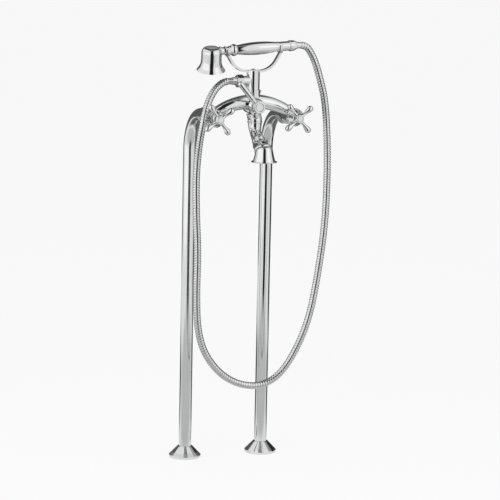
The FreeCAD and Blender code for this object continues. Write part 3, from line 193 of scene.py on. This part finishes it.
def hoseChrome(look):
    material, tree, shader = newMetal("hose_chrome")
    colourAndRoughen(tree, shader, objectNoise(tree, *look["wear"]), look)
    addBumps(tree, shader, (objectNoise(tree, *look["grain"]), look["grainHeight"]))
    return material


rubberLook = {
    "colours": ((0.012, 0.012, 0.013), (0.035, 0.034, 0.033)),
    "colourSpan": (0.3, 0.7),
    "rough": (0.55, 0.85),
    "roughSpan": (0.3, 0.7),
    "grain": (900, 4.0),
    "grainHeight": 0.00003,
}


def blackRubber(look):
    material, tree, shader = newMaterial("black_rubber")
    grain = objectNoise(tree, *look["grain"])
    colourAndRoughen(tree, shader, grain, look)
    addBumps(tree, shader, (grain, look["grainHeight"]))
    return material


brassLook = {
    "colours": ((0.82, 0.60, 0.27), (0.55, 0.36, 0.15)),
    "colourSpan": (0.3, 0.7),
    "rough": (0.18, 0.42),
    "roughSpan": (0.3, 0.7),
    "tarnish": (90, 5.0),
    "turning": (500, 3.0, (1, 1, 6)),
    "turningHeight": 0.00001,
}


def bareBrass(look):
    material, tree, shader = newMetal("bare_brass")
    colourAndRoughen(tree, shader, objectNoise(tree, *look["tarnish"]), look)
    addBumps(tree, shader, (objectNoise(tree, *look["turning"]), look["turningHeight"]))
    return material


steelLook = {
    "colours": ((0.60, 0.60, 0.60), (0.48, 0.48, 0.49)),
    "colourSpan": (0.3, 0.7),
    "rough": (0.18, 0.36),
    "roughSpan": (0.3, 0.7),
    "brushing": (260, 4.0, (1, 1, 14)),
    "brushingHeight": 0.000012,
}


def stainlessSteel(look):
    material, tree, shader = newMetal("stainless_steel")
    brushing = objectNoise(tree, *look["brushing"])
    colourAndRoughen(tree, shader, brushing, look)
    addBumps(tree, shader, (brushing, look["brushingHeight"]))
    return material


plasticLook = {
    "colours": ((0.20, 0.205, 0.21), (0.27, 0.275, 0.28)),
    "colourSpan": (0.3, 0.7),
    "rough": (0.38, 0.58),
    "roughSpan": (0.3, 0.7),
    "grain": (700, 3.0),
    "grainHeight": 0.000015,
}


def greyPlastic(look):
    material, tree, shader = newMaterial("grey_plastic")
    grain = objectNoise(tree, *look["grain"])
    colourAndRoughen(tree, shader, grain, look)
    addBumps(tree, shader, (grain, look["grainHeight"]))
    return material


finishes = {
    "polished_chrome": polishedChrome(chromeLook),
    "black_rubber": blackRubber(rubberLook),
    "bare_brass": bareBrass(brassLook),
    "stainless_steel": stainlessSteel(steelLook),
    "grey_plastic": greyPlastic(plasticLook),
}
hoseFinish = hoseChrome(hoseLook)
print("stage: finishes made")

slotOf = {row["node"]: row["material_slot"] for row in record["subparts"]}
bodyOf = {}
for body, members in record["behaviour"]["bodies"].items():
    for member in members:
        bodyOf[member] = body


def dress(item, finish):
    item.data.materials.clear()
    item.data.materials.append(finish)


# the shower hose hangs in one loop from the outlet to the hand shower
hoseForm = {
    "width": 0.0154,  # over the crests of its ribs
    "groove": 0.0126,
    "shoulder": 0.0151,
    "pitch": 0.0057,
    # a rib's stations, as a share of the pitch and the diameter there
    "ribSteps": ((0.12, "groove"), (0.20, "shoulder"), (0.36, "width"),
                 (0.76, "width"), (0.92, "shoulder"), (1.0, "groove")),
    "sides": 20,
    "plainEnd": 0.010,
    "smoothBelow": 50,  # degrees
    "curveOrder": 3,
    "curveSteps": 32,
}
hoseRoute = [
    (-0.0468, -0.1520, 0.8570), (-0.0600, -0.1520, 0.8570), (-0.0730, -0.1520, 0.8515),
    (-0.0867, -0.1540, 0.8395), (-0.1014, -0.1620, 0.8195), (-0.1136, -0.1715, 0.7950),
    (-0.1190, -0.1750, 0.7710), (-0.1234, -0.1680, 0.7350), (-0.1244, -0.1560, 0.6890),
    (-0.1250, -0.1520, 0.6400), (-0.1230, -0.1520, 0.5700), (-0.1180, -0.1520, 0.4901),
    (-0.1198, -0.1520, 0.4001), (-0.1167, -0.1520, 0.3239), (-0.1012, -0.1520, 0.2685),
    (-0.0664, -0.1520, 0.2221), (-0.0222, -0.1520, 0.1941), (0.0292, -0.1520, 0.1862),
    (0.0747, -0.1520, 0.2074), (0.1115, -0.1520, 0.2604), (0.1416, -0.1520, 0.3311),
    (0.1592, -0.1520, 0.4241), (0.1730, -0.1520, 0.5308), (0.1766, -0.1520, 0.6296),
    (0.1745, -0.1520, 0.7220), (0.1703, -0.1520, 0.7800), (0.1645, -0.1520, 0.8220),
    (0.1543, -0.1520, 0.8580), (0.1445, -0.1520, 0.8895), (0.1325, -0.1520, 0.9150),
    (0.1181, -0.1520, 0.9338), (0.0972, -0.1520, 0.9325),
]


def routeLine(form, points):
    # the route as one smooth curve, read back as closely spaced points
    curve = bpy.data.curves.new("hoseRoute", "CURVE")
    curve.dimensions = "3D"
    curve.resolution_u = form["curveSteps"]
    spline = curve.splines.new("NURBS")
    spline.points.add(len(points) - 1)
    for point, place in zip(spline.points, points):
        point.co = (*place, 1)
    spline.order_u = form["curveOrder"]
    spline.use_endpoint_u = True
    holder = bpy.data.objects.new("hoseRoute", curve)
    bpy.context.scene.collection.objects.link(holder)
    bpy.context.view_layer.update()
    mesh = bpy.data.meshes.new_from_object(holder)
    line = [v.co.copy() for v in mesh.vertices]
    bpy.data.objects.remove(holder)
    return line


def ribStations(form, length):
    # (distance along the hose, radius) from end to end
    ribs = round((length - form["plainEnd"] * 2) / form["pitch"])
    pitch = (length - form["plainEnd"] * 2) / ribs
    stations = [(0.0, form["width"] / 2)]
    for k in range(ribs):
        foot = form["plainEnd"] + pitch * k
        stations += [(foot + pitch * share, form[part] / 2) for share, part in form["ribSteps"]]
    stations.append((length, form["width"] / 2))
    print("stage: hose laid out, %.3f m, %d ribs" % (length, ribs))
    return stations


def makeHose(form, points):
    line = routeLine(form, points)
    passed = [0.0]
    for a, b in zip(line, line[1:]):
        passed.append(passed[-1] + (b - a).length)
    length = passed[-1]
    n = form["sides"]
    corners, centres = [], []
    index = 0
    for along, radius in ribStations(form, length):
        while index < len(line) - 2 and passed[index + 1] < along:
            index += 1
        step = passed[index + 1] - passed[index]
        share = min((along - passed[index]) / step, 1.0) if step else 0.0
        centre = line[index].lerp(line[index + 1], share)
        ahead = line[min(index + 2, len(line) - 1)] - line[max(index - 1, 0)]
        across = Vector((0, 1, 0)).cross(ahead).normalized()
        over = ahead.normalized().cross(across)
        centres.append(centre)
        for k in range(n):
            turn = 2 * math.pi * k / n
            corners.append(centre + over * (radius * math.cos(turn))
                           + across * (radius * math.sin(turn)))
    faces = [tuple(range(n))]
    for row in range(len(centres) - 1):
        a = row * n
        faces += [(a + k, a + (k + 1) % n, a + n + (k + 1) % n, a + n + k) for k in range(n)]
    last = (len(centres) - 1) * n
    faces.append(tuple(range(last, last + n)))
    mesh = bpy.data.meshes.new("shower_hose_tube")
    mesh.from_pydata([tuple(c) for c in corners], [], faces)
    hose = bpy.data.objects.new("shower_hose_tube", mesh)
    bpy.context.scene.collection.objects.link(hose)
    makeActive(hose)
    bpy.ops.object.mode_set(mode="EDIT")
    bpy.ops.mesh.select_all(action="SELECT")
    bpy.ops.mesh.normals_make_consistent(inside=False)
    bpy.ops.object.mode_set(mode="OBJECT")
    bpy.ops.object.shade_smooth_by_angle(angle=math.radians(form["smoothBelow"]))
    dress(hose, hoseFinish)
    return hose, centres, length


hose, hoseCentres, hoseLength = makeHose(hoseForm, hoseRoute)
print("stage: hose made")

# cast and turned pieces: each is a merged copy of its solid, some with rounded edges
edgeForm = {
    "mergeWithin": 0.000002,
    "smoothBelow": 35,  # degrees, as the next three
    "flatWithin": 0.05,
    "roundAbove": 40,
    "smoothRounded": 50,
    "segments": 2,
    "widths": {
        "floor_flange_left": 0.0006, "floor_flange_right": 0.0006,
        "union_nut_left": 0.0006, "union_nut_right": 0.0006,
        "hose_nut_outlet": 0.0005, "hose_nut_handset": 0.0004,
        "hose_ferrule_outlet": 0.0003, "grip_end_ring": 0.0005, "handset_tail": 0.0004,
        "bonnet_left": 0.0004, "bonnet_right": 0.0004, "diverter_bonnet": 0.0004,
        "diverter_button": 0.0003, "index_button_left": 0.0003,
        "index_button_right": 0.0003, "cradle_screw": 0.0003, "column": 0.0004,
    },
}
# these lie in or between other pieces: each keeps its own mesh and only takes its finish
innerPieces = {
    "valve_cartridge_left", "valve_cartridge_right", "diverter_cartridge",
    "grip_core_tube", "floor_anchor_left", "floor_anchor_right",
    "valve_spindle_left", "valve_spindle_right", "diverter_spindle",
    "flow_straightener", "union_washer_left", "union_washer_right",
    "hose_washer_outlet", "hose_washer_handset",
}


def mergedCopy(node, form):
    item = bpy.data.objects.new(node + "_finish", nodes[node].data.copy())
    bpy.context.scene.collection.objects.link(item)
    makeActive(item)
    bpy.ops.object.mode_set(mode="EDIT")
    bpy.ops.mesh.select_all(action="SELECT")
    bpy.ops.mesh.customdata_custom_splitnormals_clear()
    bpy.ops.mesh.remove_doubles(threshold=form["mergeWithin"])
    bpy.ops.object.mode_set(mode="OBJECT")
    bpy.ops.object.shade_smooth_by_angle(angle=math.radians(form["smoothBelow"]))
    dress(item, finishes[slotOf[node]])
    return item


def softEdges(item, form, width):
    # plated edges are never sharp: flat faces are joined up, then their edges rounded
    makeActive(item)
    bpy.ops.object.mode_set(mode="EDIT")
    bpy.ops.mesh.select_all(action="SELECT")
    bpy.ops.mesh.dissolve_limited(angle_limit=math.radians(form["flatWithin"]))
    bpy.ops.object.mode_set(mode="OBJECT")
    bevel = item.modifiers.new("edges", "BEVEL")
    bevel.width = width
    bevel.segments = form["segments"]
    bevel.limit_method = "ANGLE"
    bevel.angle_limit = math.radians(form["roundAbove"])
    bevel.miter_outer = "MITER_ARC"
    bpy.ops.object.modifier_apply(modifier="edges")
    bpy.ops.object.shade_smooth_by_angle(angle=math.radians(form["smoothRounded"]))
    weighted = item.modifiers.new("normals", "WEIGHTED_NORMAL")
    weighted.keep_sharp = True
    bpy.ops.object.modifier_apply(modifier="normals")


def settle(item, node):
    # the copy stands for the node, on its body, in its slot's finish
    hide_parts(node)
    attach(item, bodyOf[node])


made = {}
for name in sorted(nodes):
    if name == "shower_hose":
        continue
    if name in innerPieces:
        dress(nodes[name], finishes[slotOf[name]])
        continue
    made[name] = mergedCopy(name, edgeForm)
    if name in edgeForm["widths"]:
        softEdges(made[name], edgeForm, edgeForm["widths"][name])
    settle(made[name], name)
print("stage: copies made", len(made))

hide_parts("shower_hose")
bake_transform(hose)
onHose = [made[n] for n in ("hose_nut_outlet", "hose_ferrule_outlet", "hose_nut_handset",
                            "hose_ferrule_handset")]
onHose += [nodes["hose_washer_outlet"], nodes["hose_washer_handset"]]

# studio: pale floor, white surround, soft lamps, and cards that only reflections see
studio = {
    "floorSize": 60.0,
    "floorColour": (0.86, 0.86, 0.86, 1),
    "floorRough": 0.9,
    "floorWhite": 0.9,
    "ambient": 0.42,
    "white": (1, 1, 1, 1),
}
# where a lamp stands and aims, as (angle, distance, height), its width, height, radiance
lamps = {
    "left_softbox": ((-54, 2.5, 1.25), (-54, 0, 1.0), 3.0, 2.1, 1.0),
    "right_softbox": ((52, 2.3, 1.75), (52, 0, 0.95), 1.4, 1.7, 1.2),
    "top_softbox": ((10, 0.6, 2.6), (0, 0, 0.6), 1.6, 1.4, 1.4),
}
# a card bends through rows of (distance, height, half width)
cards = {
    "left_white": {
        "angle": -52, "shade": 1.24, "soft": 0.3,
        "rows": [(2.4, 0.0, 1.9), (2.4, 0.1, 1.9), (2.4, 1.7, 1.9), (2.3, 2.2, 1.9)],
    },
    "right_white": {
        "angle": 54, "shade": 1.28, "soft": 0.4,
        "rows": [(2.3, 0.8, 0.8), (2.3, 1.1, 0.8), (2.2, 2.1, 0.8), (1.8, 2.6, 0.8)],
    },
    "front_floor_grey": {
        "angle": 0, "shade": 0.62, "soft": 0.4,
        "rows": [(0.0, 0.012, 1.4), (0.15, 0.012, 1.4), (1.0, 0.012, 1.4),
                 (1.7, 0.012, 1.4)],
    },
    # painted shade: a dark sheet, seen only in reflections, on the floor under and behind the
    # object where its shadow falls
    "back_floor_grey": {
        "angle": 180, "shade": 0.15, "soft": 0.4,
        "rows": [(0.0, 0.012, 1.4), (0.25, 0.012, 1.4), (1.5, 0.012, 1.4),
                 (2.3, 0.012, 1.4)],
    },
    "camera_gap": {
        "angle": 6, "shade": 0.02, "soft": 0.3,
        "rows": [(0.45, 0.15, 0.22), (1.15, 0.15, 0.46), (2.0, 0.15, 0.85),
                 (2.1, 0.4, 0.8), (2.1, 1.5, 0.62), (1.6, 2.2, 0.5),
                 (0.9, 2.45, 0.45), (0.2, 2.5, 0.5)],
    },
    "right_black": {
        "angle": 126, "shade": 0.03, "soft": 0.3,
        "rows": [(1.3, -0.1, 0.75), (1.3, 0.15, 0.75), (1.3, 0.85, 0.75),
                 (1.3, 1.15, 0.75)],
    },
    "right_grey": {
        "angle": 128, "shade": 0.36, "soft": 0.4,
        "rows": [(1.5, 0.3, 1.2), (1.5, 0.8, 1.2), (1.5, 1.7, 1.2), (1.1, 2.3, 1.0)],
    },
    "back_black": {
        "angle": 184, "shade": 0.03, "soft": 0.25,
        "rows": [(2.4, 0.0, 2.2), (2.4, 0.15, 2.2), (2.4, 2.3, 2.2), (2.0, 2.9, 2.2)],
    },
    "left_back_black": {
        "angle": -140, "shade": 0.12, "soft": 0.3,
        "rows": [(2.0, 0.0, 1.0), (2.0, 0.15, 1.0), (2.0, 1.4, 1.0), (2.0, 2.0, 1.0)],
    },
    "ceiling_black": {
        "angle": 0, "shade": 0.06, "soft": 0.5,
        "rows": [(0.7, 2.6, 0.5), (0.1, 2.65, 0.8), (-0.6, 2.5, 1.3), (-1.1, 2.3, 1.5),
                 (-1.6, 1.8, 1.5)],
    },
}


def seenRays(tree):
    # 1 for camera, glossy and transmission rays
    path = addNode(tree, "ShaderNodeLightPath")
    first = addNode(tree, "ShaderNodeMath", operation="MAXIMUM")
    second = addNode(tree, "ShaderNodeMath", operation="MAXIMUM")
    tree.links.new(path.outputs["Is Camera Ray"], first.inputs[0])
    tree.links.new(path.outputs["Is Glossy Ray"], first.inputs[1])
    tree.links.new(first.outputs[0], second.inputs[0])
    tree.links.new(path.outputs["Is Transmission Ray"], second.inputs[1])
    return second.outputs[0]


def mixInto(tree, share, first, second, out):
    mix = addNode(tree, "ShaderNodeMixShader")
    tree.links.new(share, mix.inputs["Fac"])
    tree.links.new(first, mix.inputs[1])
    tree.links.new(second, mix.inputs[2])
    tree.links.new(mix.outputs[0], out.inputs["Surface"])


def makeWorld(s):
    world = bpy.data.worlds.new("studio")
    bpy.context.scene.world = world
    world.use_nodes = True
    tree = world.node_tree
    tree.nodes.clear()
    seen = addNode(tree, "ShaderNodeBackground", {"Color": s["white"], "Strength": 1.0})
    fill = addNode(tree, "ShaderNodeBackground",
                   {"Color": s["white"], "Strength": s["ambient"]})
    out = addNode(tree, "ShaderNodeOutputWorld")
    mixInto(tree, seenRays(tree), fill.outputs[0], seen.outputs[0], out)


def makeFloor(s):
    bpy.ops.mesh.primitive_plane_add(size=s["floorSize"], location=(0, 0, 0))
    floor = bpy.context.object
    floor.name = "studio_floor"
    material, tree, shader = newMaterial("studio_floor")
    shader.inputs["Base Color"].default_value = s["floorColour"]
    shader.inputs["Roughness"].default_value = s["floorRough"]
    shader.inputs["Specular IOR Level"].default_value = 0.0
    glow = addNode(tree, "ShaderNodeEmission", {"Color": s["white"], "Strength": 1.0})
    share = addNode(tree, "ShaderNodeMath", operation="MULTIPLY")
    share.inputs[1].default_value = s["floorWhite"]
    tree.links.new(seenRays(tree), share.inputs[0])
    mixInto(tree, share.outputs[0], shader.outputs[0], glow.outputs[0],
            tree.nodes["Material Output"])
    floor.data.materials.append(material)


def around(angle, distance, height, aside=0.0):
    # a place at an angle to the right of the camera's side, seen from the object
    a = math.radians(cameraSettings["azimuth"] + angle)
    return Vector((math.sin(a) * distance + math.cos(a) * aside,
                   -math.cos(a) * distance + math.sin(a) * aside, height))


def addLamp(name, place, target, width, tall, radiance):
    place, target = around(*place), around(*target)
    aim = (target - place).to_track_quat("-Z", "Y").to_euler()
    bpy.ops.object.light_add(type="AREA", location=place, rotation=aim)
    lamp = bpy.context.object
    lamp.name = name
    lamp.data.shape = "RECTANGLE"
    lamp.data.size = width
    lamp.data.size_y = tall
    lamp.data.energy = radiance * math.pi * width * tall
    lamp.visible_glossy = False  # the cards are what the plating reflects


def cardFinish(shade, white):
    material, tree, shader = newMaterial("studio_card")
    tree.nodes.remove(shader)
    cover = addNode(tree, "ShaderNodeAttribute", attribute_name="cover")
    fade = addNode(tree, "ShaderNodeMapRange", interpolation_type="SMOOTHSTEP")
    clear = addNode(tree, "ShaderNodeBsdfTransparent")
    glow = addNode(tree, "ShaderNodeEmission", {"Color": white, "Strength": shade})
    tree.links.new(cover.outputs["Fac"], fade.inputs["Value"])
    mixInto(tree, fade.outputs["Result"], clear.outputs[0], glow.outputs[0],
            tree.nodes["Material Output"])
    return material


def addCard(name, s):
    # the card fades out over the soft share of its half width, and over its end rows
    rows, soft = s["rows"], s["soft"]
    corners, covers, faces = [], [], []
    for k, (distance, height, half) in enumerate(rows):
        inner = 0.0 if k in (0, len(rows) - 1) else 1.0
        for place, full in ((-1, 0.0), (soft - 1, 1.0), (1 - soft, 1.0), (1, 0.0)):
            corners.append(around(s["angle"], distance, height, place * half))
            covers.append(full * inner)
    for k in range(0, len(corners) - 4, 4):
        faces += [(k + c, k + c + 1, k + c + 5, k + c + 4) for c in range(3)]
    mesh = bpy.data.meshes.new(name)
    mesh.from_pydata([tuple(c) for c in corners], [], faces)
    cover = mesh.attributes.new("cover", "FLOAT", "POINT")
    cover.data.foreach_set("value", covers)
    card = bpy.data.objects.new(name, mesh)
    bpy.context.scene.collection.objects.link(card)
    card.data.materials.append(cardFinish(s["shade"], studio["white"]))
    card.visible_camera = False
    card.visible_diffuse = False
    card.visible_shadow = False
    card.visible_transmission = False


makeWorld(studio)
makeFloor(studio)
for name, values in lamps.items():
    addLamp(name, *values)
for name, values in cards.items():
    addCard(name, values)
print("stage: studio made")
